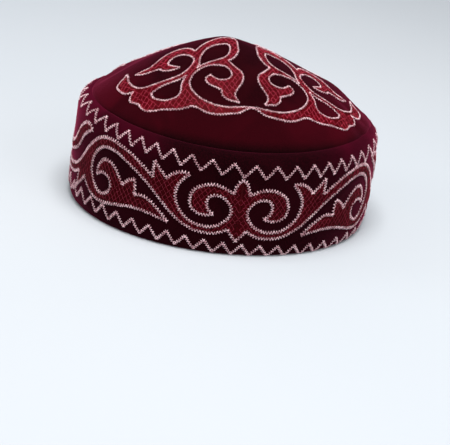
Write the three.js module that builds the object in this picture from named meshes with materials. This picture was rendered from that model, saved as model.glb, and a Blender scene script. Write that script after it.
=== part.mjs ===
// A velvet skullcap: an oval side band with a round shoulder, and a soft domed crown sewn inside it.
// Millimetres, +Z up. The front is towards -Y. The origin is the middle of the rim, on the surface that it stands on.
import * as THREE from 'three';
import { mergeVertices } from 'three/addons/utils/BufferGeometryUtils.js';

// The oval of the band, measured outside the wall
const HALF_LENGTH = 100;
const HALF_WIDTH = 84.5;

// The band from the rim up to the seam
const SEAM_HEIGHT = 67.4;
const SEAM_WAVE = 1.9;
const BAND_THICKNESS = 3;
const SHOULDER_RADIUS = 10.4;
const SHOULDER_REACH = 0.8;
const WALL_LEAN = 0.033;
const WALL_BELLY = 0.7;
const RIM_TUCK = 2;
const RIM_TUCK_HEIGHT = 10;
const RIM_ROUNDING = 0.6;

// The crown from the seam up to the peak
const SEAM_GAP = 0.3;
const CROWN_THICKNESS = 2.4;
const CROWN_RISE = 46;
const CONE_SHARE = 0.52;
const DOME_POWER = 2.37;
const PEAK_SOFTNESS = 0.07;
const PEAK_FORWARD = 8.2;

// Soft puckers in the crown: where each lies round the cap and out from the peak, its size and its depth
const PUCKERS = [
  { turnDeg: 62, out: 0.90, acrossMm: 7, alongMm: 15, depthMm: 1.1 },
  { turnDeg: 74, out: 0.88, acrossMm: 6, alongMm: 13, depthMm: 1.0 },
  { turnDeg: -58, out: 0.90, acrossMm: 9, alongMm: 14, depthMm: 0.8 },
  { turnDeg: -100, out: 0.86, acrossMm: 10, alongMm: 16, depthMm: 1.0 },
  { turnDeg: 118, out: 0.88, acrossMm: 8, alongMm: 15, depthMm: 1.0 },
  { turnDeg: 170, out: 0.90, acrossMm: 9, alongMm: 14, depthMm: 0.7 },
  { turnDeg: -142, out: 0.88, acrossMm: 8, alongMm: 14, depthMm: 0.9 },
];

// How finely the pieces are faceted
const TURN_STEPS = 80;
const WALL_HEIGHTS = [2, 5, 10, 22, 34, 46];
const INNER_HEIGHTS = [46, 28, 10, 4];
const SHOULDER_STEPS = 6;
const CROWN_RINGS = [0.05, 0.12, 0.2, 0.28, 0.36, 0.44, 0.52, 0.6, 0.68, 0.76, 0.83, 0.89, 0.94, 0.98, 1];
const INNER_RINGS = [1, 0.94, 0.87, 0.78, 0.68, 0.58, 0.46, 0.34, 0.22, 0.1];

const VELVET = { color: 0x4a0812, roughness: 0.9, metalness: 0 };

// The band narrows upwards, and is tucked in at the rim
function wallInset(height) {
  const lean = WALL_LEAN * (height - SEAM_HEIGHT / 2);
  const tuck = RIM_TUCK * Math.max(0, 1 - height / RIM_TUCK_HEIGHT) ** 2;
  return lean + tuck;
}

// A quarter turn from the wall to the seam, for a skin that lies the given depth inside the velvet
function shoulder(depth, upwards) {
  const points = [];
  const radius = SHOULDER_RADIUS - depth;
  for (let step = 0; step <= SHOULDER_STEPS; step += 1) {
    const share = (upwards ? step : SHOULDER_STEPS - step) / SHOULDER_STEPS;
    const angle = share * Math.PI / 2;
    const height = SEAM_HEIGHT - SHOULDER_RADIUS + radius * Math.sin(angle);
    const turnedIn = (SHOULDER_REACH * SHOULDER_RADIUS - depth) * (1 - Math.cos(angle));
    const inset = wallInset(height) + depth + turnedIn;
    points.push({ inset, height });
  }
  return points;
}

// The closed section of the band: flat foot, outside wall, shoulder, seam edge, inside wall
function bandSection() {
  const foot = wallInset(0);
  return [
    { inset: foot + RIM_ROUNDING, height: 0 },
    { inset: foot, height: RIM_ROUNDING },
    ...WALL_HEIGHTS.map((height) => ({ inset: wallInset(height), height })),
    ...shoulder(0, true),
    ...shoulder(BAND_THICKNESS, false),
    ...INNER_HEIGHTS.map((height) => ({ inset: wallInset(height) + BAND_THICKNESS, height })),
    { inset: foot + BAND_THICKNESS, height: RIM_ROUNDING },
    { inset: foot + BAND_THICKNESS - RIM_ROUNDING, height: 0 },
    { inset: foot + RIM_ROUNDING, height: 0 },
  ];
}

// A ring spun round +Z, each of whose points is then moved to its place by the given function
function spun(profile, place) {
  const geometry = new THREE.LatheGeometry(profile, TURN_STEPS);
  geometry.rotateX(Math.PI / 2);
  geometry.deleteAttribute('normal');
  geometry.deleteAttribute('uv');
  const merged = mergeVertices(geometry, 1e-3);
  const position = merged.getAttribute('position');
  for (let index = 0; index < position.count; index += 1) {
    const x = position.getX(index);
    const y = position.getY(index);
    const [px, py, pz] = place(Math.atan2(y, x), Math.hypot(x, y), position.getZ(index));
    position.setXYZ(index, px, py, pz);
  }
  merged.computeVertexNormals();
  return merged;
}

// The seam lies lower at the sides than at the front and the back
function seamHeight(turn) {
  return SEAM_HEIGHT - SEAM_WAVE * Math.cos(2 * turn);
}

function bandGeometry() {
  const roundRadius = HALF_WIDTH;
  const profile = bandSection().map(({ inset, height }) => new THREE.Vector2(roundRadius - inset, height));
  return spun(profile, (turn, radius, height) => {
    const belly = WALL_BELLY * Math.sin(turn) ** 2 * Math.sin(Math.PI * height / SEAM_HEIGHT);
    const inset = roundRadius - radius - belly;
    return [
      (HALF_WIDTH - inset) * Math.cos(turn),
      (HALF_LENGTH - inset) * Math.sin(turn),
      height * seamHeight(turn) / SEAM_HEIGHT,
    ];
  });
}

// How far the crown stands above the seam, out from the peak (0) to the seam (1): part cone, part dome
function crownRise(out) {
  const bluntCone = (reach) => Math.hypot(reach, PEAK_SOFTNESS) - PEAK_SOFTNESS;
  const cone = bluntCone(out) / bluntCone(1);
  const dome = out ** DOME_POWER;
  return CROWN_RISE * (1 - CONE_SHARE * cone - (1 - CONE_SHARE) * dome);
}

// The depth of the puckers at a place on the crown
function puckerDepth(turn, out, halfLength) {
  return PUCKERS.reduce((depth, pucker) => {
    const centre = THREE.MathUtils.degToRad(pucker.turnDeg);
    const aside = Math.atan2(Math.sin(turn - centre), Math.cos(turn - centre)) * out * halfLength;
    const along = (out - pucker.out) * halfLength;
    const spread = (aside / pucker.acrossMm) ** 2 + (along / pucker.alongMm) ** 2;
    return depth + pucker.depthMm * Math.exp(-2 * spread);
  }, 0);
}

function crownGeometry() {
  const seamInset = wallInset(SEAM_HEIGHT) + SHOULDER_REACH * SHOULDER_RADIUS + SEAM_GAP;
  const halfWidth = HALF_WIDTH - seamInset;
  const halfLength = HALF_LENGTH - seamInset;
  const outside = CROWN_RINGS.map((out) => new THREE.Vector2(out * halfWidth, crownRise(out)));
  const inside = INNER_RINGS.map((out) => new THREE.Vector2(out * halfWidth, crownRise(out) - CROWN_THICKNESS));
  const profile = [
    new THREE.Vector2(0, crownRise(0) - CROWN_THICKNESS),
    ...inside.reverse(),
    ...outside.reverse(),
    new THREE.Vector2(0, crownRise(0)),
  ];
  return spun(profile, (turn, radius, rise) => {
    const out = radius / halfWidth;
    const base = SEAM_HEIGHT + (seamHeight(turn) - SEAM_HEIGHT) * out;
    return [
      out * halfWidth * Math.cos(turn),
      out * halfLength * Math.sin(turn) - PEAK_FORWARD * (1 - out),
      base + rise - puckerDepth(turn, out, halfLength),
    ];
  });
}

function velvetPiece(name, geometry) {
  const piece = new THREE.Mesh(geometry, new THREE.MeshStandardMaterial(VELVET));
  piece.name = name;
  return piece;
}

const cap = new THREE.Group();
cap.add(velvetPiece('side_band', bandGeometry()));
cap.add(velvetPiece('crown', crownGeometry()));

export default cap;
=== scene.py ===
# %% [markdown]
# # A velvet tubeteika with scroll embroidery
#
# A tubeteika is a Central Asian skullcap. This one is wine-red velvet: an oval side band that is stiff
# enough to stand by itself, a soft domed crown sewn inside its shoulder, and machine embroidery on both. A
# pale thread goes round every figure in a narrow zigzag, and a red thread fills the figures.
#
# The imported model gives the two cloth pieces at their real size. It is plain, because collision and weight
# need no more. Here each one is replaced by a finer mesh of the same form, and the stitches are laid on
# top.

import bisect
import math
import random

import bmesh
import bpy
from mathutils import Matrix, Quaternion, Vector


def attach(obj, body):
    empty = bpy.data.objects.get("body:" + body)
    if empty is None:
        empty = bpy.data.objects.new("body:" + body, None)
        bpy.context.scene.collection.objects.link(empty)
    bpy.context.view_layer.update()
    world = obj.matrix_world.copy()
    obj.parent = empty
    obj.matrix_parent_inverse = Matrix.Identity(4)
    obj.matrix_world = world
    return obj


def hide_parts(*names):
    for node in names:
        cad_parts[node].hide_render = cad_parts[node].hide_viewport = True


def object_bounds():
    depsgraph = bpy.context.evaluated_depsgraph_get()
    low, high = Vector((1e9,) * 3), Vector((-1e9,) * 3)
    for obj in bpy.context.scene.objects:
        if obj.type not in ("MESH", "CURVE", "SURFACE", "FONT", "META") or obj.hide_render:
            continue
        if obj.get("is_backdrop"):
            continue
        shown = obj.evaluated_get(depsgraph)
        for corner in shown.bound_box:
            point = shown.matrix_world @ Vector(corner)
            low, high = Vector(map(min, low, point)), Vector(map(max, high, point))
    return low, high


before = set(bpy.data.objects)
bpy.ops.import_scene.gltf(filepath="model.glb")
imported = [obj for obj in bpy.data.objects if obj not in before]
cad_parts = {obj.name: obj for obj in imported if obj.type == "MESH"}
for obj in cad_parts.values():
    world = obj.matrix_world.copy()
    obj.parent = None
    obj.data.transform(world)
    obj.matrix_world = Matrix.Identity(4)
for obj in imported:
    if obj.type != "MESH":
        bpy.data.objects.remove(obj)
cad_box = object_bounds()
print("nodes:", sorted(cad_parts))
print("size in mm:", [round(side * 1000, 1) for side in cad_box[1] - cad_box[0]])

# %% [markdown]
# ## The shape of the cloth
#
# Both pieces are rings round an oval. A plain spin of a section gives a circle, so every vertex of the
# circle is then moved by a small function, which knows how far the cloth leans, bellies out and tucks in.
# The stitches use the same functions later, and so they lie on the cloth wherever the pattern takes them.
# Sizes are in millimetres until a mesh is finished, and a turn is counted from the wearer's left, with the
# back at 90 degrees.

# %% Sizes of the band
MM = 0.001
HALF_LENGTH = 100
HALF_WIDTH = 84.5
SEAM_HEIGHT = 67.4
SEAM_WAVE = 1.9
BAND_THICKNESS = 3
SHOULDER_RADIUS = 10.4
SHOULDER_REACH = 0.8
SHOULDER_START = SEAM_HEIGHT - SHOULDER_RADIUS
WALL_LEAN = 0.033
BACK_BELLY = 1.4
BACK_DENT = {"turn": 104, "spread": 38, "depth": 2.0, "power": 10}
RIM_TUCK = 2
RIM_TUCK_HEIGHT = 10


def wall_inset(height):
    """The band narrows upwards, and is tucked in at the rim."""
    lean = WALL_LEAN * (height - SEAM_HEIGHT / 2)
    tuck = RIM_TUCK * max(0, 1 - height / RIM_TUCK_HEIGHT) ** 2
    return lean + tuck


def shoulder(angle, depth=0):
    """A point of the round shoulder, for a skin that lies the given depth inside the velvet."""
    height = SHOULDER_START + (SHOULDER_RADIUS - depth) * math.sin(angle)
    turned_in = (SHOULDER_REACH * SHOULDER_RADIUS - depth) * (1 - math.cos(angle))
    return wall_inset(height) + depth + turned_in, height


def seam_height(turn):
    """The seam lies lower at the sides than at the front and the back."""
    return SEAM_HEIGHT - SEAM_WAVE * math.cos(2 * turn)


def turn_off(turn, middle):
    """How far a turn is from a middle given in degrees, by the shorter way round."""
    off = turn - math.radians(middle)
    return math.atan2(math.sin(off), math.cos(off))


def near_turn(turn, place):
    """1 at the place's turn, and less and less away from it."""
    return math.exp(-(math.degrees(turn_off(turn, place["turn"])) / place["spread"]) ** 2)


def band_point(turn, inset, height):
    """From a place in the section to a place on the cap."""
    belly = BACK_BELLY * max(0, math.sin(turn)) ** 2 * math.sin(math.pi * height / SEAM_HEIGHT)
    share = height / SEAM_HEIGHT
    dent = BACK_DENT["depth"] * near_turn(turn, BACK_DENT)
    return Vector((
        (HALF_WIDTH - inset + belly) * math.cos(turn),
        (HALF_LENGTH - inset + belly) * math.sin(turn),
        share * seam_height(turn) - dent * share ** BACK_DENT["power"],
    ))


print("seam at the side and at the back in mm:", seam_height(0), seam_height(math.pi / 2))

# %% [markdown]
# The crown is part cone and part dome, with its peak a little forward of the middle. Where it is gathered
# into the seam there are a few soft puckers. They are hollows in a short table, and a depth below zero is
# a swelling. A subdivided mesh could be pushed in by hand instead, but a table can be read and changed.
# The cloth is soft, so it isn't quite even: the wearer's right side sags a little, and at the back the
# crown's edge hangs out over the band's shoulder, which is dented under it.

# %% Sizes of the crown
CROWN_THICKNESS = 2.4
CROWN_RISE = 46
CONE_SHARE = 0.51
DOME_POWER = 2.37
PEAK_SOFTNESS = 0.05
PEAK_FORWARD = 9.4
SEAM_INSET = wall_inset(SEAM_HEIGHT) + SHOULDER_REACH * SHOULDER_RADIUS
CROWN_HALF_WIDTH = HALF_WIDTH - SEAM_INSET
CROWN_HALF_LENGTH = HALF_LENGTH - SEAM_INSET
SEAM_TUCK = {"out": 0.6, "power": 8}
VALLEY_DEPTH = 0.35
VALLEY_WIDTH = 0.035

PUCKERS = [dict(zip(("turn", "out", "across", "along", "depth"), row)) for row in (
    (62, 0.90, 7, 15, 1.1),
    (74, 0.88, 6, 13, 1.0),
    (-58, 0.90, 9, 14, 0.8),
    (-100, 0.86, 10, 16, 1.0),
    (142, 0.88, 8, 15, 1.0),
    (176, 0.90, 9, 14, 0.7),
    (-160, 0.88, 8, 14, 0.9),
    (98, 0.78, 26, 17, -3.0),
    (-118, 0.84, 22, 15, -1.7),
)]
PUCKER_FALLOFF = 2
SAG = {"depth": 2.2, "reach": 8, "power": 6}
OVERHANG = {"turn": 104, "spread": 38, "out": 4.0, "down": 2.4, "power": 26}


def crown_rise(out):
    """How far the crown stands above the seam, from the peak (0) to the seam (1)."""
    def blunt_cone(reach):
        return math.hypot(reach, PEAK_SOFTNESS) - PEAK_SOFTNESS

    cone = blunt_cone(out) / blunt_cone(1)
    return CROWN_RISE * (1 - CONE_SHARE * cone - (1 - CONE_SHARE) * out ** DOME_POWER)


def pucker_depth(turn, out):
    """How deep the puckers are at a place on the crown."""
    depth = 0
    for pucker in PUCKERS:
        aside = turn_off(turn, pucker["turn"]) * out * CROWN_HALF_LENGTH
        along = (out - pucker["out"]) * CROWN_HALF_LENGTH
        spread = (aside / pucker["across"]) ** 2 + (along / pucker["along"]) ** 2
        depth += pucker["depth"] * math.exp(-PUCKER_FALLOFF * spread)
    return depth


def crown_sag(turn, out):
    """How far the wearer's right side has sunk."""
    aside = max(0, -math.cos(turn)) * out * CROWN_HALF_WIDTH
    return SAG["depth"] * (1 - math.exp(-(aside / SAG["reach"]) ** 2)) * (1 - out ** SAG["power"])


def overhang(turn, out):
    """How much of the overhang at the back reaches a place, from none (0) to all (1)."""
    return near_turn(turn, OVERHANG) * out ** OVERHANG["power"]


def crown_point(turn, out, sunk=0):
    """A place on the crown, or the given depth under it."""
    valley = VALLEY_DEPTH * math.exp(-((1 - out) / VALLEY_WIDTH) ** 2)
    base = SEAM_HEIGHT + (seam_height(turn) - SEAM_HEIGHT) * out
    hang = overhang(turn, out)
    wider = SEAM_TUCK["out"] * out ** SEAM_TUCK["power"] + OVERHANG["out"] * hang
    fall = pucker_depth(turn, out) + crown_sag(turn, out) + valley + OVERHANG["down"] * hang
    return Vector((
        (out * CROWN_HALF_WIDTH + wider) * math.cos(turn),
        (out * CROWN_HALF_LENGTH + wider) * math.sin(turn) - PEAK_FORWARD * (1 - out),
        base + crown_rise(out) - fall - sunk,
    ))


print("peak in mm:", [round(value, 1) for value in crown_point(0, 0)])

# %% [markdown]
# ## Spinning a piece
#
# A section is a row of points in a half plane, which closes on itself or starts and ends on the axis.
# `spin` sweeps it round the upright axis, and `use_merge` joins the last copy to the first, so no seam is
# left open. A point on the axis ends up as many copies, so doubles are merged before the faces are turned
# outwards.

# %% Helpers for spun cloth
TURN_STEPS = 216
SAME_POINT = 1e-4


def placed(name, data):
    """An object at the origin of the scene, for a mesh, a curve, a light or a camera."""
    made = bpy.data.objects.new(name, data)
    bpy.context.scene.collection.objects.link(made)
    return made


def finished_piece(mesh, name):
    """A bmesh in millimetres becomes an object in metres."""
    bmesh.ops.scale(mesh, vec=(MM, MM, MM), verts=mesh.verts)
    data = bpy.data.meshes.new(name)
    mesh.to_mesh(data)
    mesh.free()
    data.shade_smooth()
    return placed(name, data)


def spun_ring(section, closed=True):
    """Spins a section, given as (radius, height) points, round the upright axis."""
    mesh = bmesh.new()
    points = [mesh.verts.new((radius, 0, height)) for radius, height in section]
    nexts = points[1:] + points[:1] if closed else points[1:]
    edges = [mesh.edges.new(pair) for pair in zip(points, nexts)]
    bmesh.ops.spin(
        mesh, geom=points + edges, axis=(0, 0, 1), angle=math.tau, steps=TURN_STEPS, use_merge=True,
    )
    bmesh.ops.remove_doubles(mesh, verts=mesh.verts, dist=SAME_POINT)
    bmesh.ops.recalc_face_normals(mesh, faces=mesh.faces)
    return mesh


# %% [markdown]
# ## The side band
#
# The real band is velvet over a stiffener, turned over a round shoulder at the top and tucked under at the
# rim. Its section runs up the outside, round the shoulder, and back down the inside. At the seam the crown
# pulls the shoulder down a little. That valley is kept shallow, because the lip of a deep one catches the
# light as a bright line, and velvet sewn to velvet shows none. The bevel rounds the two edges of the foot
# that the cap stands on.

# %% The side band
WALL_STEPS = 20
SHOULDER_STEPS = 14
RIM_ROUNDING = 1.2
RIM_SEGMENTS = 4
SAME_RING = 1
VALLEY_REACH = 2 * VALLEY_WIDTH * CROWN_HALF_WIDTH


def band_section():
    """The closed section of the band, as (inset, height) points."""
    outside = [(wall_inset(height), height) for height in
               (SHOULDER_START * step / WALL_STEPS for step in range(WALL_STEPS))]
    bend = [math.pi / 2 * step / SHOULDER_STEPS for step in range(SHOULDER_STEPS + 1)]
    inside = [(inset + BAND_THICKNESS, height) for inset, height in reversed(outside)]
    over = [shoulder(angle) for angle in bend]
    under = [shoulder(angle, BAND_THICKNESS) for angle in reversed(bend)]
    return outside + over + under + inside


def make_side_band():
    mesh = spun_ring([(HALF_WIDTH - inset, height) for inset, height in band_section()])
    rim = [edge for edge in mesh.edges if all(vert.co.z < SAME_POINT for vert in edge.verts)
           and abs(edge.verts[0].co.xy.length - edge.verts[1].co.xy.length) < SAME_RING]
    bmesh.ops.bevel(
        mesh, geom=rim, offset=RIM_ROUNDING, segments=RIM_SEGMENTS,
        profile=0.5, affect="EDGES", material=-1,
    )
    for vert in mesh.verts:
        inset = HALF_WIDTH - vert.co.xy.length
        height = vert.co.z
        near_seam = max(0, 1 - (SEAM_INSET - inset) / VALLEY_REACH)
        place = band_point(math.atan2(vert.co.y, vert.co.x), inset, height)
        if height > SHOULDER_START:
            place.z -= VALLEY_DEPTH * near_seam ** 2
        vert.co = place
    return finished_piece(mesh, "velvet_side_band")


side_band = make_side_band()
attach(side_band, "root")
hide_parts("side_band")
print("side band faces:", len(side_band.data.polygons))

# %% [markdown]
# ## The crown
#
# The crown is spun in the same way. Its section starts on the axis under the peak, runs out along the
# inside, turns at the seam and comes back along the outside. The radius of the spun circle then says how
# far out a vertex is, and its height says whether it lies on the outside or the inside.

# %% The crown
CROWN_RINGS = 44
RING_CROWDING = 0.9


def make_crown():
    outs = [(step / CROWN_RINGS) ** RING_CROWDING for step in range(CROWN_RINGS + 1)]
    inner = [(out * CROWN_HALF_WIDTH, -CROWN_THICKNESS) for out in outs]
    outer = [(out * CROWN_HALF_WIDTH, 0) for out in reversed(outs)]
    mesh = spun_ring(inner + outer, closed=False)
    for vert in mesh.verts:
        out = vert.co.xy.length / CROWN_HALF_WIDTH
        turn = math.atan2(vert.co.y, vert.co.x)
        vert.co = crown_point(turn, out, -vert.co.z)
    return finished_piece(mesh, "velvet_crown")


crown = make_crown()
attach(crown, "root")
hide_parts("crown")
print("crown faces:", len(crown.data.polygons))

# %% [markdown]
# ## Laying a flat pattern on the cloth
#
# The pattern is drawn flat, as an embroiderer draws it, and each point is then carried to the cloth. On
# the band the first number is the way round, measured along the outside, and the second is the way up. On
# the crown the pattern is a plan. In both cases a `skin` function turns two numbers into a point, and two
# short steps on that skin give the cloth's normal. A UV unwrap could do the same, but a function keeps
# every stitch the same real size.

# %% The way round the oval
OVAL_STEPS = 1440
oval_way = [0.0]
for step in range(OVAL_STEPS):
    turn = math.tau * (step + 0.5) / OVAL_STEPS
    stride = math.hypot(HALF_WIDTH * math.sin(turn), HALF_LENGTH * math.cos(turn)) * math.tau / OVAL_STEPS
    oval_way.append(oval_way[-1] + stride)
GIRTH = oval_way[-1]
print("girth of the oval in mm:", round(GIRTH, 1))


def turn_at(way):
    """The turn from the wearer's left, after a way round the oval."""
    way = way % GIRTH
    step = min(bisect.bisect_right(oval_way, way), OVAL_STEPS) - 1
    share = (way - oval_way[step]) / (oval_way[step + 1] - oval_way[step])
    return math.tau * (step + share) / OVAL_STEPS


def band_skin(way, climb):
    """The outside of the band: a way round, and a climb from the rim that goes on over the shoulder."""
    turn = turn_at(way)
    climb = climb * SEAM_HEIGHT / seam_height(turn)
    if climb < SHOULDER_START:
        return band_point(turn, wall_inset(climb), climb)
    angle = min((climb - SHOULDER_START) / SHOULDER_RADIUS, math.pi / 2)
    return band_point(turn, *shoulder(angle))

# %% [markdown]
# The crown's shape is given by a turn and a way out from the peak, so a place on the plan has to be turned
# back into those two. Without the tuck and the overhang that is a quadratic equation. They widen the edge
# a little, so the aim is then moved by a share of what it misses, until the rest is too small to show.

# %% The crown under the plan
AIM_STEPS = 9
AIM_SHARE = 0.62
AIM_MISS = 0.02
SKIN_STEP = 0.3


def crown_turn_and_out(x, y):
    """The turn and the way out that belong to a place on the plan, before the edge is widened."""
    forward = PEAK_FORWARD / CROWN_HALF_LENGTH
    along = (y + PEAK_FORWARD) / CROWN_HALF_LENGTH
    across = x / CROWN_HALF_WIDTH
    half = along * forward
    square = 1 - forward ** 2
    out = (-half + math.sqrt(half ** 2 + square * (along ** 2 + across ** 2))) / square
    return math.atan2(along - forward * out, across), out


def crown_skin(x, y):
    """The outside of the crown above a place on the plan."""
    aim = Vector((x, y))
    for step in range(AIM_STEPS):
        point = crown_point(*crown_turn_and_out(*aim))
        miss = Vector((x, y)) - point.xy
        if miss.length < AIM_MISS:
            break
        aim += miss * AIM_SHARE
    return Vector((x, y, point.z))


def laid(skin, u, v, lift):
    """A point at a height above the cloth."""
    across = skin(u + SKIN_STEP, v) - skin(u - SKIN_STEP, v)
    along = skin(u, v + SKIN_STEP) - skin(u, v - SKIN_STEP)
    return skin(u, v) + across.cross(along).normalized() * lift


print("crown under (30, -40) in mm:", [round(value, 1) for value in crown_skin(30, -40)])

# %% [markdown]
# ## The band pattern's own bend
#
# The strip wasn't cut quite straight. Round the cap its pattern climbs towards the front and the back, the
# top more than the bottom, and the front more than the back, where the bottom sinks a little. The figure
# is drawn once for a quarter of the way round and mirrored: at the middle of each side, and again at the
# front and the back.

# %% The bend of the strip
PATTERN_LOW = 7
PATTERN_HIGH = 59
LOW_CLIMB = {"both": 2.7, "front": 4.0}
HIGH_CLIMB = {"both": 8.4, "front": 2.7}
SCROLL_BACK_CLIMB = 2.8
LEAST_CLIMB = 0.8
SIDE_MIDDLE = -0.8
QUARTER = GIRTH / 4


def band_pattern(way, level, back_climb=0.0):
    """A point of the straightened strip, as a way round and a climb on the band."""
    ends = math.sin(turn_at(way))
    low = LOW_CLIMB["both"] * ends ** 2 - LOW_CLIMB["front"] * ends
    high = HIGH_CLIMB["both"] * ends ** 2 - HIGH_CLIMB["front"] * ends
    share = (level - PATTERN_LOW) / (PATTERN_HIGH - PATTERN_LOW)
    extra = back_climb * max(0, ends) ** 2
    return way, max(LEAST_CLIMB, level + low * (1 - share) + high * share + extra)


def border_skin(way, level):
    return band_skin(*band_pattern(way, level))


def scroll_skin(way, level):
    return band_skin(*band_pattern(way, level, SCROLL_BACK_CLIMB))


print("a quarter of the way round in mm:", round(QUARTER, 1))

# %% [markdown]
# ## Smooth lines through a few points
#
# A figure is a list of stretches, each from one corner to the next. A stretch is a smooth line through the
# charted points, here a Catmull-Rom curve: it passes through every point, so a chart read off with a ruler
# gives the right figure.

# %% Smooth stretches
CURVE_STEP = 0.7


def smooth_line(points):
    """Points close together on the smooth curve through the given ones."""
    points = [Vector(point) for point in points]
    padded = [2 * points[0] - points[1], *points, 2 * points[-1] - points[-2]]
    line = [points[0]]
    for before, start, end, after in zip(padded, padded[1:], padded[2:], padded[3:]):
        span = (end - start).length
        out = (end - before) * span / ((start - before).length + span)
        into = (after - start) * span / ((after - end).length + span)
        steps = max(1, round(span / CURVE_STEP))
        for step in range(1, steps + 1):
            t = step / steps
            line.append(
                start * (2 * t ** 3 - 3 * t ** 2 + 1) + out * (t ** 3 - 2 * t ** 2 + t)
                + end * (3 * t ** 2 - 2 * t ** 3) + into * (t ** 3 - t ** 2)
            )
    return line


def smooth_stretches(chart):
    """The smooth lines of a chart. The first begins at the start, and each other where one ended."""
    (corner,), *rows = chart.values()
    lines = []
    for points in rows:
        lines.append(smooth_line([corner, *points]))
        corner = points[-1]
    return lines


def joined(stretches):
    """One outline from stretches that follow each other."""
    outline = [stretches[0][0]]
    for stretch in stretches:
        outline += stretch[1:]
    return outline


# %% [markdown]
# ## The chart of the band
#
# Millimetres from the side's middle, and millimetres up the strip. The red filling lies between an upper
# and a lower edge: a pillar stands at the side's middle, a ram's horn curls out of it, a leaf follows, and
# a long stem runs up and over into a second, smaller horn next to the front or the back.

# %% The edges of the figure
UPPER_EDGE = {
    "start": [(0, 50)],
    "pillar tip": [(2, 49), (3.5, 46), (4.85, 41)],
    "horn outside": [
        (8.5, 42.5), (13, 44.3), (17, 44.7), (22, 43.7), (26, 41.5), (28.8, 39.5), (30.7, 34),
        (30.6, 30.5), (29, 27.2), (25, 25), (21, 24.4), (15.8, 26),
    ],
    "horn inside": [
        (18.3, 27.5), (20.1, 30), (20.6, 32.3), (19.8, 35.6), (17.3, 38), (13.6, 38.4), (9.6, 36.8),
        (6.6, 33.9), (5.1, 30.9), (5, 28), (6.4, 24.4), (9.1, 21.3), (12.6, 18.9), (17.5, 17.3),
        (23, 17.2), (28, 18), (32, 20.2), (36, 23.7), (39, 28.5), (40, 33), (39.8, 37), (38.3, 41),
        (36, 44.3), (33, 47.8),
    ],
    "leaf lobe": [(36, 48.2), (40, 47.2), (43, 45), (46.8, 41.2)],
    "leaf point": [(49.5, 43.8), (53.3, 46.8), (55.4, 49.3)],
    "leaf back": [(55.5, 44), (55.3, 39.3)],
    "stem top": [
        (62, 43), (71.5, 47.2), (83, 49.6), (88.5, 49.6), (93.5, 48.6), (98, 46.6), (105.5, 40.2),
        (111, 33.4), (116.3, 26.3), (123, 20.3), (133, 17), (QUARTER, 16.5),
    ],
}
LOWER_EDGE = {
    "start": [(0, 10)],
    "pillar foot": [(5.9, 17.6)],
    "stem underside": [
        (9.5, 15.2), (13.5, 13.8), (18.5, 13.2), (24.5, 13.3), (29.5, 14.5), (34.5, 16.6), (39.5, 19.5),
        (48.5, 26.5), (58, 34), (69, 39.7), (75, 42), (81, 43.8), (87, 44.2), (92.5, 43.2), (97, 40.5),
        (100.3, 36.8), (102.5, 32.5), (103.2, 28), (102.5, 23.5), (100.3, 19.5), (97, 16), (93, 14.2),
        (89, 15), (86, 17.5), (84.3, 20.8), (84.7, 24), (87, 26.7), (90.5, 27.6), (94, 26.8), (97, 24.6),
    ],
    "small horn": [
        (96.8, 28.3), (95.3, 32), (92.5, 35), (88.5, 36.3), (84.5, 35.4), (80.5, 32.5), (77.3, 28.6),
        (75.2, 26.3),
    ],
    "first notch": [(73.3, 29), (70.8, 31.2), (67.3, 33.2)],
    "second notch": [(66.3, 29.5), (66.2, 26), (66.3, 23.6)],
    "tail top": [(62.5, 24.8), (58.5, 24.9), (54, 23), (49.5, 20.2), (42.6, 14.3)],
    "tail bottom": [
        (47, 15), (52.5, 15.8), (58.5, 16.1), (64.5, 15.9), (70.5, 14.8), (82.5, 11.3), (88.5, 9.8),
        (94, 9.4), (99, 10.2), (103.5, 12), (107.5, 14.6), (110, 17.6),
    ],
    "end leg": [(112.7, 14.3), (115.7, 11.5), (118.7, 8.5)],
    "end spur": [(119, 13), (118, 18)],
    "end base": [(124, 14.8), (132, 12.5), (QUARTER, 11.6)],
}
SPROUT = {
    "top": [
        (107.2, 47.5), (109.2, 49), (112.2, 49.3), (116.2, 48.3), (122.2, 44), (127.2, 38), (131.2, 33.5),
        (138, 29), (QUARTER, 27.6),
    ],
    "underside": [
        (107.2, 47.5), (111.2, 45), (117.2, 40), (121.7, 33.5), (126.2, 29), (129.2, 27.5), (137, 24.6),
        (QUARTER, 23.6),
    ],
}
FREE_LEG = [(118.7, 8.5), (121.7, 5.5), (124.7, 3)]

upper_stretches = smooth_stretches(UPPER_EDGE)
lower_stretches = smooth_stretches(LOWER_EDGE)
sprout_stretches = [smooth_line(points) for points in SPROUT.values()]
band_stretches = [*upper_stretches, *lower_stretches, *sprout_stretches, smooth_line(FREE_LEG)]
print("stretches in a quarter of the band:", len(band_stretches))

# %% [markdown]
# ## The chart of the crown
#
# A plan of a quarter of the crown. The first number is the distance from the crossways axis towards the
# front or the back, the second is the distance from the long axis. The figure is mirrored across both, so
# four of them make the rosette. Two openings in the filling are outlines of their own.

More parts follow.
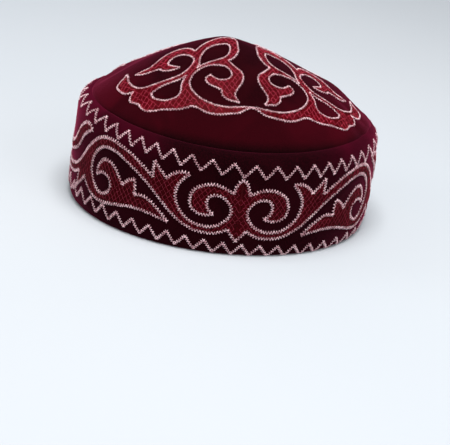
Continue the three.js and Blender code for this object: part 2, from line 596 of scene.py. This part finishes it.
# %% The quarter rosette
ROSETTE = {
    "start": [(0, 53.3)],
    "side edge": [
        (3.5, 54.5), (8.5, 57), (13.5, 57.5), (18.5, 57.8), (23.5, 57.5), (28.5, 56), (33.5, 53),
        (37, 51.7),
    ],
    "outer lobe": [
        (43.5, 52), (48.5, 51), (53.5, 49.5), (58.5, 48.5), (63.5, 46.5), (66.5, 43), (67.5, 40.5),
    ],
    "corner lobe": [(69.5, 38.5), (72.5, 35), (72.5, 32), (70.5, 29.5)],
    "end lobe": [(74.5, 28.5), (77, 26), (79, 22), (80, 18), (78.5, 15), (76, 13), (74, 10)],
    "end horn": [
        (73.5, 14), (73.5, 18), (72, 23), (69.5, 27), (65.5, 30), (61.5, 31), (55.5, 31.5), (49.5, 31.3),
        (43.5, 30.5), (39.5, 28.5), (36.5, 25.5), (34.5, 22), (35, 19), (37.5, 16), (40.5, 14),
        (44.5, 13.5), (48, 15), (50, 18), (49.5, 20), (47, 22), (43.5, 24.5),
    ],
    "horn tip": [(46.5, 25), (50, 24.5), (53.5, 23), (55, 20.5)],
    "horn barb": [(58.5, 20), (62.5, 19.5), (65.5, 18.5), (69, 15.5)],
    "middle stem": [
        (65.5, 15.5), (61.5, 15.5), (57.5, 13.5), (53.5, 10), (49.5, 8), (44.5, 6.8), (39.5, 7.5),
        (35.5, 10), (33.5, 13.5),
    ],
    "petal edge": [(31.5, 11), (28.5, 8), (23.5, 5), (18.5, 3), (13.5, 2.3), (8.5, 2)],
    "petal tip": [(6.5, 5), (6.5, 10), (6.5, 14), (8, 18), (10.5, 21.5), (13.5, 23.5)],
    "side bud": [(11.5, 26), (8.5, 29)],
    "side leaf": [(6, 31), (4.8, 34), (5.5, 38), (8, 42), (10.5, 46), (10, 48.5), (8, 51)],
    "leaf tip": [(11.5, 50.5), (15.5, 49.5), (18.5, 46.5), (18.5, 44)],
    "leaf notch": [(20.5, 43), (24.5, 41), (27.5, 38.5), (28, 36), (25, 33.8)],
    "side horn": [(23, 36), (19.5, 37.5), (15.5, 37.3), (12.5, 35.5), (12, 32), (15.5, 28)],
    "side stem": [
        (20.5, 27), (24.5, 27), (28.5, 27.5), (31.5, 29), (34.5, 31), (36.5, 33.5), (38, 38), (36.5, 42),
        (34.5, 45), (31.5, 48), (26.5, 51), (21.5, 53), (15.5, 54), (8.5, 53.8), (3.5, 53.3), (0, 53.3),
    ],
}
DROP_OPENING = {
    "start": [(39.5, 31.8)],
    "blunt side": [
        (42.5, 37), (43, 41), (44.5, 44), (48.5, 45), (52.5, 44.5), (56.5, 42.5), (59.5, 40), (60.5, 37),
    ],
    "long side": [(57.5, 35.5), (53.5, 34.5), (48.5, 34), (43.5, 33.5), (39.5, 31.8)],
}
PETAL_OPENING = {
    "start": [(33, 28)],
    "inner side": [
        (31.5, 25), (31, 21), (29.5, 17), (26.5, 13), (22.5, 10.5), (18.5, 9.5), (13.5, 9), (12, 10),
    ],
    "outer side": [(11.5, 13), (12.5, 17), (14.5, 20), (17.5, 22), (23.5, 24), (29.5, 26), (33, 28)],
}

rosette_figures = [smooth_stretches(chart) for chart in (ROSETTE, DROP_OPENING, PETAL_OPENING)]
crown_stretches = sum(rosette_figures, [])
print("stretches in a quarter of the crown:", len(crown_stretches))

# %% [markdown]
# ## The satin stitch
#
# The outlines are an open satin stitch, as a machine sews it: the thread crosses over the line, pierces
# the cloth, comes back over the line a little further on, and so on, in a row of narrow Vs. Modelling each
# stitch would be slow, and one long bent thread for each stretch is enough: three points for a crossing,
# of which the last lies under the velvet. A curve's bevel gives it thickness, and a resolution of 0 makes
# that four-sided. The crossings aren't quite even on the cap, so a seeded random shift is added.

# %% A thread that crosses a line again and again
THREAD_RESOLUTION = 0
WIDTH_SHARES = (0.82, 1.15)
THREAD_BENDS = (0.2, 0.8)
dice = random.Random(7)


def along(line, way):
    """The point and the direction at a way along a row of points."""
    for start, end in zip(line, line[1:]):
        span = (end - start).length
        if way <= span:
            break
        way -= span
    direction = (end - start).normalized()
    return start + direction * min(way, span), direction


def needle_holes(line, stitch):
    """Where the thread pierces the cloth, on one side of the line and the other in turn."""
    length = sum((end - start).length for start, end in zip(line, line[1:]))
    strokes = max(1, round(length / stitch["pitch"]))
    step = length / strokes
    holes = []
    for stroke in range(strokes + 1):
        for side in (1, -1):
            ahead = stitch["lean"] if side < 0 else 0
            way = (stroke + ahead) * step + dice.uniform(-1, 1) * stitch["stray"]
            centre, direction = along(line, min(max(way, 0), length))
            aside = Vector((-direction.y, direction.x))
            holes.append(centre + aside * side * stitch["width"] / 2 * dice.uniform(*WIDTH_SHARES))
    return holes


def satin(line, stitch):
    """Points (flat place, lift) of a thread that crosses the line and comes back over it."""
    holes = needle_holes(line, stitch)
    points = [(holes[0], -stitch["dive"])]
    for number, (start, end) in enumerate(zip(holes, holes[1:])):
        height = stitch["back_height"] if number % 2 else stitch["height"]
        points += [(start.lerp(end, share), height) for share in THREAD_BENDS]
        points.append((end, -stitch["dive"]))
    return points


def drawn_mesh(name, rows, settings, closed=False):
    """The mesh of a curve that runs straight from point to point of each row."""
    curve = bpy.data.curves.new(name, "CURVE")
    for key, value in settings.items():
        setattr(curve, key, value)
    for row in rows:
        spline = curve.splines.new("POLY")
        spline.points.add(len(row) - 1)
        for target, point in zip(spline.points, row):
            target.co = (*point, 1)
        spline.use_cyclic_u = closed
    drawn = placed(name, curve)
    bpy.context.view_layer.update()
    data = bpy.data.meshes.new_from_object(drawn)
    bpy.data.objects.remove(drawn)
    return data


def sewn_threads(name, threads, thickness):
    """A mesh of threads. Each is a skin and the points (flat place, lift) that it runs through."""
    rows = [[laid(skin, *flat, lift) * MM for flat, lift in run] for skin, run in threads]
    bevel = {"bevel_depth": thickness / 2 * MM, "bevel_resolution": THREAD_RESOLUTION}
    data = drawn_mesh(name, rows, {"dimensions": "3D", **bevel})
    data.shade_smooth()
    piece = placed(name, data)
    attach(piece, "root")
    print(name, "triangles:", sum(len(face.vertices) - 2 for face in data.polygons))
    return piece


def sewn_outline(name, lines, stitch):
    """Satin stitch along flat lines, in the outline thread."""
    piece = sewn_threads(name, [(skin, satin(line, stitch)) for skin, line in lines], stitch["thread"])
    return piece


# %% [markdown]
# ## Borders: two zigzag lines round the band
#
# The upper border has 48 teeth of a finer thread, and the lower one has 50. Each leg of a tooth is a short
# straight line of stitches. A stitch is a few sizes: its pitch along the line, how far its way back leans
# on, how much it strays, its width and thread, and how high it lies each way and dives between.

# %% The borders
BAND_STITCH = {
    "pitch": 1.8, "lean": 0.42, "stray": 0.12, "width": 2.3, "thread": 0.44,
    "height": 0.45, "back_height": 0.3, "dive": 0.15,
}
UPPER_STITCH = {**BAND_STITCH, "width": 1.9, "pitch": 1.7, "thread": 0.36, "height": 0.36}
LOWER_STITCH = {**BAND_STITCH, "width": 2.0, "pitch": 1.7}
UPPER_BORDER = {"teeth": 48, "peak": 59.7, "trough": 52}
LOWER_BORDER = {"teeth": 50, "peak": 8.2, "trough": 0.8, "first_peak": 3.5}
TOOTH_SPREADING = 0.02


def upper_corner(half_tooth):
    """The upper teeth stand a little further apart at the sides, the front and the back."""
    share = half_tooth / 2 / (UPPER_BORDER["teeth"] / 4)
    way = SIDE_MIDDLE + QUARTER * (share + TOOTH_SPREADING * math.sin(math.tau * share))
    return Vector((way, UPPER_BORDER["peak" if half_tooth % 2 else "trough"]))


def lower_corner(half_tooth):
    """The lower teeth are even all round."""
    way = LOWER_BORDER["first_peak"] + half_tooth / 2 * GIRTH / LOWER_BORDER["teeth"]
    return Vector((way, LOWER_BORDER["trough" if half_tooth % 2 else "peak"]))


def tooth_legs(corner, teeth):
    """The straight legs of a border, each from one corner to the next."""
    return [(border_skin, [corner(half), corner(half + 1)]) for half in range(2 * teeth)]


upper_legs = tooth_legs(upper_corner, UPPER_BORDER["teeth"])
upper_border = sewn_outline("upper_border_stitches", upper_legs, UPPER_STITCH)
lower_legs = tooth_legs(lower_corner, LOWER_BORDER["teeth"])
lower_border = sewn_outline("lower_border_stitches", lower_legs, LOWER_STITCH)

# %% [markdown]
# ## Outlines of the scrolls
#
# Each quarter's stretches are carried to their place round the band or on the crown, mirrored where the
# quarter is, and sewn. A mirror modifier could do that, but a place function serves the outlines and the
# filling alike. A quarter of the band has the middle of its side and a way to go from there.

# %% The scroll outline on the band
BAND_QUARTERS = [(SIDE_MIDDLE + side * GIRTH / 2, way) for side in (0, 1) for way in (-1, 1)]


def band_place(middle, way):
    """A function that carries the chart to a quarter of the way round the band."""
    return lambda point: Vector((middle + way * point.x, point.y))


def carried(skin, places, lines):
    """Each line at each place, with the skin that it lies on."""
    return [(skin, [place(point) for point in line]) for place in places for line in lines]


band_places = [band_place(*quarter) for quarter in BAND_QUARTERS]
scroll_lines = carried(scroll_skin, band_places, band_stretches)
scroll_outline = sewn_outline("scroll_outline_stitches", scroll_lines, BAND_STITCH)

# %% [markdown]
# The quarters of the crown weren't sewn quite alike. Some are shifted to the wearer's right, or drift that
# way more and more with their distance from the middle. A quarter's end is the front (-1) or the back (1),
# and its side is the wearer's right (-1) or left (1).

# %% The outline on the crown
CROWN_STITCH = {**BAND_STITCH, "pitch": 1.7, "width": 1.15, "thread": 0.46}
CROSS_AXIS = 3.5
CROWN_QUARTERS = [
    {"end": -1, "side": -1, "shift": 6.5, "drift": 0.06},
    {"end": -1, "side": 1, "shift": 0, "drift": 0},
    {"end": 1, "side": -1, "shift": 1, "drift": 0},
    {"end": 1, "side": 1, "shift": 0, "drift": 0.06},
]


def crown_place(end, side, shift, drift):
    """A function that carries the chart to a quarter of the crown's plan."""
    return lambda point: Vector((side * point.y - shift - drift * point.x, CROSS_AXIS + end * point.x))


crown_places = [crown_place(**quarter) for quarter in CROWN_QUARTERS]
crown_lines = carried(crown_skin, crown_places, crown_stretches)
crown_outline = sewn_outline("crown_outline_stitches", crown_lines, CROWN_STITCH)

# %% [markdown]
# ## The red filling
#
# Inside the outlines a red thread lies so closely that it reads as a thin pad. A pad is made from the flat
# figure: a 2D curve fills its outline and leaves its openings out, `bisect_plane` cuts that face into
# small squares so that it can bend, and each vertex is then laid on the cloth. Every second point of an
# outline is enough for a pad, because the stitches cover its edge.

# %% A filled figure laid on the cloth
PAD_LIFT = 0.3
PAD_THICKNESS = 0.35
PAD_SQUARE = 3
PAD_OUTLINE_STEP = 2
SAME_PAD_POINT = 1e-3


def flat_figure(outlines):
    """A flat mesh between the first outline and the openings in it."""
    rows = [[point.to_3d() for point in outline] for outline in outlines]
    data = drawn_mesh("figure", rows, {"dimensions": "2D", "fill_mode": "BOTH"}, closed=True)
    mesh = bmesh.new()
    mesh.from_mesh(data)
    bpy.data.meshes.remove(data)
    return mesh


def cut_in_squares(mesh):
    """Cuts a flat mesh along a grid, so that no face is wider than a square."""
    for axis, normal in enumerate((Vector((1, 0, 0)), Vector((0, 1, 0)))):
        places = [vert.co[axis] for vert in mesh.verts]
        place = math.floor(min(places) / PAD_SQUARE + 1) * PAD_SQUARE
        while place < max(places):
            geometry = mesh.verts[:] + mesh.edges[:] + mesh.faces[:]
            bmesh.ops.bisect_plane(mesh, geom=geometry, plane_co=normal * place, plane_no=normal)
            place += PAD_SQUARE


def sewn_pads(name, figures):
    """One mesh of pads. Each figure has a skin, a function onto the pattern, and its outlines."""
    whole = bmesh.new()
    for skin, place, outlines in figures:
        sparse = [outline[::PAD_OUTLINE_STEP] for outline in outlines]
        flat = flat_figure([[place(point) for point in outline] for outline in sparse])
        cut_in_squares(flat)
        bmesh.ops.remove_doubles(flat, verts=flat.verts, dist=SAME_PAD_POINT)
        bmesh.ops.recalc_face_normals(flat, faces=flat.faces)
        if sum(face.normal.z for face in flat.faces) < 0:
            bmesh.ops.reverse_faces(flat, faces=flat.faces)
        copies = {vert: whole.verts.new(laid(skin, *vert.co.xy, PAD_LIFT)) for vert in flat.verts}
        for face in flat.faces:
            whole.faces.new([copies[vert] for vert in face.verts])
        flat.free()
    bmesh.ops.solidify(whole, geom=whole.faces[:], thickness=PAD_THICKNESS)
    bmesh.ops.recalc_face_normals(whole, faces=whole.faces)
    piece = finished_piece(whole, name)
    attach(piece, "root")
    print(name, "faces:", len(piece.data.polygons))
    return piece


# %% The filling on the band
scroll_figure = joined(upper_stretches) + list(reversed(joined(lower_stretches)))
sprout_figure = sprout_stretches[0] + list(reversed(sprout_stretches[1]))
band_outlines = [[scroll_figure], [sprout_figure]]
band_figures = [(scroll_skin, place, outlines) for place in band_places for outlines in band_outlines]
band_filling = sewn_pads("scroll_filling", band_figures)

# %% The filling on the crown
rosette_outlines = [joined(stretches) for stretches in rosette_figures]
crown_figures = [(crown_skin, place, rosette_outlines) for place in crown_places]
crown_filling = sewn_pads("crown_filling", crown_figures)

# %% [markdown]
# ## The loose thread over the filling
#
# Over the pad runs a loose red thread in rows of small waves. Neighbouring rows touch, so they read as a
# net with cells of three to four millimetres. A bump could draw the net, but real threads hide the ground
# when they are seen from the side, as on the crown, and show it when they are seen from the front, as on
# the band. Each row is cut where it leaves the figure, which an even-odd test on the outlines finds.

# %% The net of loose threads
NET = {"row": 2.2, "wave": 1.1, "pitch": 3.4, "thread": 0.34, "low": 0.34, "high": 0.6, "stray": 0.35}


def inside(outlines, u, v):
    """True where a sideways line from the place crosses the outlines an odd number of times."""
    odd = False
    for outline in outlines:
        for start, end in zip(outline, outline[1:] + outline[:1]):
            if (start.y > v) == (end.y > v):
                continue
            if u < start.x + (v - start.y) / (end.y - start.y) * (end.x - start.x):
                odd = not odd
    return odd


def net_runs(outlines):
    """Rows of waves, as runs of (flat place, lift) that stay in the figure."""
    low = [min(point[axis] for point in outlines[0]) for axis in (0, 1)]
    high = [max(point[axis] for point in outlines[0]) for axis in (0, 1)]
    runs = []
    for row in range(math.ceil((high[1] - low[1]) / NET["row"]) + 1):
        runs.append([])
        for half in range(math.ceil((high[0] - low[0]) / NET["pitch"] * 2) + 1):
            wave = NET["wave"] if (half + row) % 2 else -NET["wave"]
            u = low[0] + half * NET["pitch"] / 2 + dice.uniform(-1, 1) * NET["stray"]
            v = low[1] + row * NET["row"] + wave + dice.uniform(-1, 1) * NET["stray"]
            if inside(outlines, u, v):
                runs[-1].append((Vector((u, v)), NET["high" if dice.random() < 0.5 else "low"]))
            else:
                runs.append([])
    return [run for run in runs if len(run) > 1]


def sewn_net(name, figures):
    """The loose threads of some figures. The copies of a figure share the rows that it drew last."""
    rows = {id(outlines): net_runs(outlines) for skin, place, outlines in figures}
    threads = [
        (skin, [(place(flat), lift) for flat, lift in run])
        for skin, place, outlines in figures for run in rows[id(outlines)]
    ]
    piece = sewn_threads(name, threads, NET["thread"])
    return piece


band_net = sewn_net("scroll_filling_threads", band_figures)
crown_net = sewn_net("crown_filling_threads", crown_figures)

# %% [markdown]
# ## Shader maths in plain Python
#
# A node graph for a finish is easier to read as an expression. `Value` wraps one output socket, and
# Python's operators add the Math nodes. `Finish` owns a material, and its one `node` method makes every
# other node: settings first, then the sockets.

# %% Value and Finish
class Value:
    """One number or colour that varies over a surface."""

    def __init__(self, finish, socket):
        self.finish = finish
        self.socket = socket

    def math(self, operation, *others):
        sockets = dict(enumerate((self, *others)))
        return self.finish.node("ShaderNodeMath", {"operation": operation}, sockets)

    def __add__(self, other):
        return self.math("ADD", other)

    def __mul__(self, other):
        return self.math("MULTIPLY", other)

    def __rsub__(self, other):
        return self * -1 + other

    __radd__ = __add__
    __rmul__ = __mul__

    def between(self, low, high):
        """0 below low, 1 above high, and smooth between them."""
        sockets = {"Value": self, "From Min": low, "From Max": high}
        return self.finish.node("ShaderNodeMapRange", {"interpolation_type": "SMOOTHSTEP"}, sockets)


class Finish:
    """A material and the nodes in it."""

    def __init__(self, name):
        self.material = bpy.data.materials.new(name)
        self.material.use_nodes = True
        self.tree = self.material.node_tree
        self.tree.nodes.clear()
        self.shader = self.tree.nodes.new("ShaderNodeBsdfPrincipled")
        output = self.tree.nodes.new("ShaderNodeOutputMaterial")
        self.tree.links.new(self.shader.outputs[0], output.inputs["Surface"])

    def fill(self, node, sockets):
        for key, value in sockets.items():
            if isinstance(value, Value):
                self.tree.links.new(value.socket, node.inputs[key])
            else:
                node.inputs[key].default_value = value

    def node(self, kind, settings, sockets, output=0):
        made = self.tree.nodes.new(kind)
        for key, value in settings.items():
            setattr(made, key, value)
        self.fill(made, sockets)
        return Value(self, made.outputs[output])

    def place(self):
        """The place on the cap, in metres."""
        return self.node("ShaderNodeTexCoord", {}, {}, "Object")

    def place_along(self, axis):
        return self.node("ShaderNodeSeparateXYZ", {}, {0: self.place()}, axis)

    def cloud(self, scale, detail=2, lopsided=0):
        """Noise with the given number of patches to a metre."""
        sockets = {"Vector": self.place(), "Scale": scale, "Detail": detail, "Distortion": lopsided}
        return self.node("ShaderNodeTexNoise", {}, sockets)

    def mixed(self, share, first, second):
        """A blend of two colours, which are a Mix node's sockets 6 and 7 and its output 2."""
        return self.node("ShaderNodeMix", {"data_type": "RGBA"}, {0: share, 6: first, 7: second}, 2)

    def bump(self, height, strength, distance):
        sockets = {"Height": height, "Strength": strength, "Distance": distance}
        return self.node("ShaderNodeBump", {}, sockets)

    def surface(self, **sockets):
        """The finished material. A socket is named in small letters, with _ for a space."""
        for name, value in sockets.items():
            self.fill(self.shader, {name.replace("_", " ").title().replace("Ior", "IOR"): value})
        return self.material


# %% [markdown]
# ## Velvet
#
# Velvet is dark where the pile is seen end on and glows where it is seen from the side. Painting that by the
# viewing angle would slide in other views. The shader's sheen lobe does it properly, as real pile does, so
# the base colour stays very dark, except where sheen is painted in. Slow noise varies the colour as brushed
# pile does, and fine noise breaks up the surface. On the band's shoulder at the front and the back, and on
# the crown a little above its seam, a richer colour is painted in as painted sheen. Right above the seam at
# the sides the crown is left dark, as painted shade.

# %% Where sheen and shade are painted into the velvet
# Heights and reaches of the painted sheen. Below the crown's 'begins' range the seam is left dark as painted
# shade.
SHOULDER_PAINTED_SHEEN = {"up": (0.045, 0.062), "ends": (0.035, 0.08)}
SKIRT_PAINTED_SHEEN = {"begins": (0.0655, 0.0715), "fades": (0.074, 0.100)}


def shoulder_painted_sheen(finish):
    """Where painted sheen goes: 1 on the band's shoulder at the front and the back, 0 lower down and at the
    sides.
    """
    ends = finish.place_along("Y").math("ABSOLUTE")
    return finish.place_along("Z").between(*SHOULDER_PAINTED_SHEEN["up"]) * ends.between(*SHOULDER_PAINTED_SHEEN["ends"])


def skirt_painted_sheen(finish):
    """Where painted sheen goes: 1 on the crown a little above its seam, 0 further up. At the sides the crown
    just above the seam is left dark as painted shade.
    """
    up = finish.place_along("Z")
    return up.between(*SKIRT_PAINTED_SHEEN["begins"]) * (1 - up.between(*SKIRT_PAINTED_SHEEN["fades"]))


# %% The velvet finish
BRUSHED = {"scale": 22, "detail": 3, "lopsided": 0.6}
PILE = {"scale": 1400}
NAP = {"scale": 220}
CREASES = {"scale": 28, "detail": 1}
SHEEN = {"sheen_roughness": 0.36, "sheen_tint": (1.0, 0.08, 0.24, 1)}


def velvet_finish(name, look, painted_sheen_share):
    """Velvet from dark to rich where it is brushed, with tips of pile, and painted sheen where the share is
    high.
    """
    finish = Finish(name)
    brushed = finish.cloud(**BRUSHED).between(0.38, 0.66)
    pile = finish.cloud(**PILE)
    deep = finish.mixed(brushed, look["dark"], look["rich"])
    tipped = finish.mixed(pile.between(0.35, 0.75), deep, look["tip"])
    # Painted sheen: the richer colour is painted in where the share is high, varied by the brushed noise.
    colour = finish.mixed(painted_sheen_share(finish) * (brushed * 0.5 + 0.5), tipped, look["painted_sheen_colour"])
    relief = pile * 0.1 + finish.cloud(**NAP) * 0.1 + finish.cloud(**CREASES)
    return finish.surface(
        base_color=colour, roughness=0.9, specular_ior_level=0.02,
        normal=finish.bump(relief, 0.6, 0.002), sheen_weight=look["sheen"], **SHEEN,
    )


# In each look the 'open' colour is painted sheen, for the band's shoulder and the crown's skirt.
BAND_LOOK = {
    "dark": (0.003, 0.0002, 0.0005, 1), "rich": (0.010, 0.0005, 0.0014, 1),
    "tip": (0.016, 0.0007, 0.0024, 1), "painted_sheen_colour": (0.040, 0.0006, 0.0060, 1), "sheen": 0.33,
}
CROWN_LOOK = {
    "dark": (0.003, 0.0002, 0.0005, 1), "rich": (0.018, 0.0006, 0.0016, 1),
    "tip": (0.011, 0.0005, 0.0014, 1), "painted_sheen_colour": (0.034, 0.0006, 0.0028, 1), "sheen": 0.34,
}
band_velvet = velvet_finish("band_velvet", BAND_LOOK, shoulder_painted_sheen)
crown_velvet = velvet_finish("crown_velvet", CROWN_LOOK, skirt_painted_sheen)
print("velvet nodes:", len(band_velvet.node_tree.nodes))

# %% [markdown]
# The inside is the velvet's back: a plain weave without pile, duller and a little browner. A wave texture
# each way makes the weave. The faces that look into the hollow get it, which a dot product finds.

# %% The velvet's back
WEAVE_SCALE = 260
HOLLOW_MIDDLE = Vector((0, 0, 0.03))


def woven_finish():
    finish = Finish("woven_back")
    threads = {"Vector": finish.place(), "Scale": WEAVE_SCALE}
    level = finish.node("ShaderNodeTexWave", {"bands_direction": "Z"}, threads, 1)
    across = finish.node("ShaderNodeTexWave", {"bands_direction": "DIAGONAL"}, threads, 1)
    weave = level * 0.5 + across * 0.5
    worn = finish.cloud(30, detail=3).between(0.35, 0.7)
    ground = finish.mixed(worn, (0.060, 0.006, 0.010, 1), (0.095, 0.010, 0.016, 1))
    colour = finish.mixed(weave * 0.6, ground, (0.030, 0.003, 0.006, 1))
    return finish.surface(
        base_color=colour, roughness=0.85, specular_ior_level=0.15,
        normal=finish.bump(weave, 0.5, 0.0003),
    )


woven = woven_finish()
for piece, velvet in ((side_band, band_velvet), (crown, crown_velvet)):
    piece.data.materials.append(velvet)
    piece.data.materials.append(woven)
    for face in piece.data.polygons:
        looks_in = face.normal.dot(HOLLOW_MIDDLE - face.center) > 0
        face.material_index = 1 if looks_in else 0

# %% [markdown]
# ## Threads
#
# The outline thread is pale pink with a soft shine. Lighter and darker patches break it up as its twist
# does, and the darker ones are partly painted shade between the strands. The filling thread is deep red,
# and noise as fine as a strand makes some strands light and gives the bump. The pads and the loose threads
# over them have colours with light and shade painted in: a loose thread is painted lighter because it
# stands in the light, and the ground under it darker, as the painted shade of that thread. Those on the
# crown are painted paler, as painted light, since most light comes from above.

# %% The outline thread's finish
def outline_finish():
    finish = Finish("pale_pink_thread")
    # The dark patches are partly the thread's twist and partly painted shade between the strands.
    patchy = finish.cloud(600, detail=1).between(0.4, 0.6)
    slow = finish.cloud(60, detail=1).between(0.3, 0.7)
    pale = finish.mixed(patchy, (0.40, 0.16, 0.19, 1), (1.0, 0.68, 0.72, 1))
    colour = finish.mixed(slow * 0.2, pale, (0.80, 0.42, 0.47, 1))
    return finish.surface(
        base_color=colour, roughness=0.3, specular_ior_level=0.85,
        sheen_weight=0.2, sheen_roughness=0.5, sheen_tint=(1, 0.75, 0.8, 1),
    )


# %% The filling's finish
def filling_finish(name, dark, rich, light):
    """Red thread: its ground goes from dark to rich, and single strands are light."""
    finish = Finish(name)
    strand = finish.cloud(2200, detail=1)
    patchy = finish.cloud(90, detail=2).between(0.3, 0.75)
    ground = finish.mixed(patchy, dark, rich)
    colour = finish.mixed(strand.between(0.4, 0.7), ground, light)
    return finish.surface(
        base_color=colour, roughness=0.5, specular_ior_level=0.05,
        normal=finish.bump(strand, 0.5, 0.0003),
    )


outline_thread = outline_finish()
# Painted light and shade: each ground is painted darker as the shade of the loose threads over it, each
# thread lighter as lit, and the crown's pair paler as painted light from above.
FILLING_COLOURS_WITH_PAINTED_LIGHT = {
    "band_ground_painted_shade": [(0.026, 0.0002, 0.0010, 1), (0.060, 0.0003, 0.002, 1), (0.10, 0.0006, 0.004, 1)],
    "band_thread_painted_light": [(0.12, 0.005, 0.012, 1), (0.22, 0.010, 0.024, 1), (0.36, 0.033, 0.062, 1)],
    "crown_ground_painted_light_and_shade": [(0.065, 0.0003, 0.002, 1), (0.12, 0.0006, 0.004, 1), (0.18, 0.0010, 0.008, 1)],
    "crown_thread_painted_light": [(0.34, 0.016, 0.038, 1), (0.50, 0.028, 0.060, 1), (0.70, 0.08, 0.13, 1)],
}
FILLED_PIECES = {
    "band_ground_painted_shade": band_filling, "band_thread_painted_light": band_net,
    "crown_ground_painted_light_and_shade": crown_filling, "crown_thread_painted_light": crown_net,
}
for piece in (upper_border, lower_border, scroll_outline, crown_outline):
    piece.data.materials.append(outline_thread)
for part, piece in FILLED_PIECES.items():
    piece.data.materials.append(filling_finish("red_" + part, *FILLING_COLOURS_WITH_PAINTED_LIGHT[part]))

# %% [markdown]
# ## Floor, light and camera
#
# The cap rests on a plain pale floor. A broad key light hangs above the cap, a weaker one stands behind
# its near side and a faint one in front of it, and a weak world light fills the shadows. The camera looks
# slightly down at the wearer's left side, and leans a little.

# %% The floor
FLOOR_REACH = 6


def make_floor():
    mesh = bmesh.new()
    bmesh.ops.create_grid(mesh, x_segments=1, y_segments=1, size=FLOOR_REACH)
    data = bpy.data.meshes.new("floor")
    mesh.to_mesh(data)
    mesh.free()
    floor = placed("floor", data)
    finish = Finish("pale_floor")
    tint = finish.mixed(finish.cloud(3, detail=1), (0.47, 0.50, 0.53, 1), (0.51, 0.53, 0.55, 1))
    data.materials.append(finish.surface(base_color=tint, roughness=0.6, specular_ior_level=0.2))
    floor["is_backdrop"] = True


make_floor()

# %% The lights
LIGHTS = {
    "key": {"place": (0.25, -0.05, 1.5), "size": 0.8, "watts": 31},
    "side": {"place": (1.1, 0.8, 0.9), "size": 0.8, "watts": 6},
    "front": {"place": (-0.2, -1.4, 0.7), "size": 0.6, "watts": 3.2},
}
CAP_MIDDLE = Vector((0, 0, 0.056))
WORLD = {"Color": (0.90, 0.94, 1.0, 1), "Strength": 0.42}

for name, lamp in LIGHTS.items():
    light = bpy.data.lights.new(name, "AREA")
    light.size = lamp["size"]
    light.energy = lamp["watts"]
    holder = placed(name, light)
    holder.location = lamp["place"]
    holder.rotation_euler = (CAP_MIDDLE - holder.location).to_track_quat("-Z", "Y").to_euler()

world = bpy.data.worlds.new("studio")
world.use_nodes = True
for key, value in WORLD.items():
    world.node_tree.nodes["Background"].inputs[key].default_value = value
bpy.context.scene.world = world
bpy.context.scene.view_settings.view_transform = "Standard"

# %% The camera
CAMERA = {
    "azimuth": 79.6, "elevation": 19.4, "around": (0, 0, 0.0564), "distance": 0.746,
    "aim": (0, 0.008, -0.0172), "roll": 8.7, "lens": 89.9, "sensor": 36,
}


def make_camera():
    azimuth = math.radians(CAMERA["azimuth"])
    elevation = math.radians(CAMERA["elevation"])
    level = math.cos(elevation)
    back = Vector((math.sin(azimuth) * level, -math.cos(azimuth) * level, math.sin(elevation)))
    camera = placed("camera", bpy.data.cameras.new("camera"))
    camera.data.lens = CAMERA["lens"]
    camera.data.sensor_width = CAMERA["sensor"]
    camera.location = Vector(CAMERA["around"]) + back * CAMERA["distance"]
    turned = (Vector(CAMERA["aim"]) - camera.location).to_track_quat("-Z", "Y")
    leaned = Quaternion(turned @ Vector((0, 0, 1)), math.radians(CAMERA["roll"]))
    camera.rotation_mode = "QUATERNION"
    camera.rotation_quaternion = leaned @ turned
    bpy.context.scene.camera = camera


make_camera()

# %% The two boxes
shown_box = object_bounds()
boxes = {"cad": [list(corner) for corner in cad_box], "visual": [list(corner) for corner in shown_box]}
print("CAD box and visual box in mm:")
for name, corners in boxes.items():
    print(name, [[round(value * 1000, 1) for value in corner] for corner in corners])
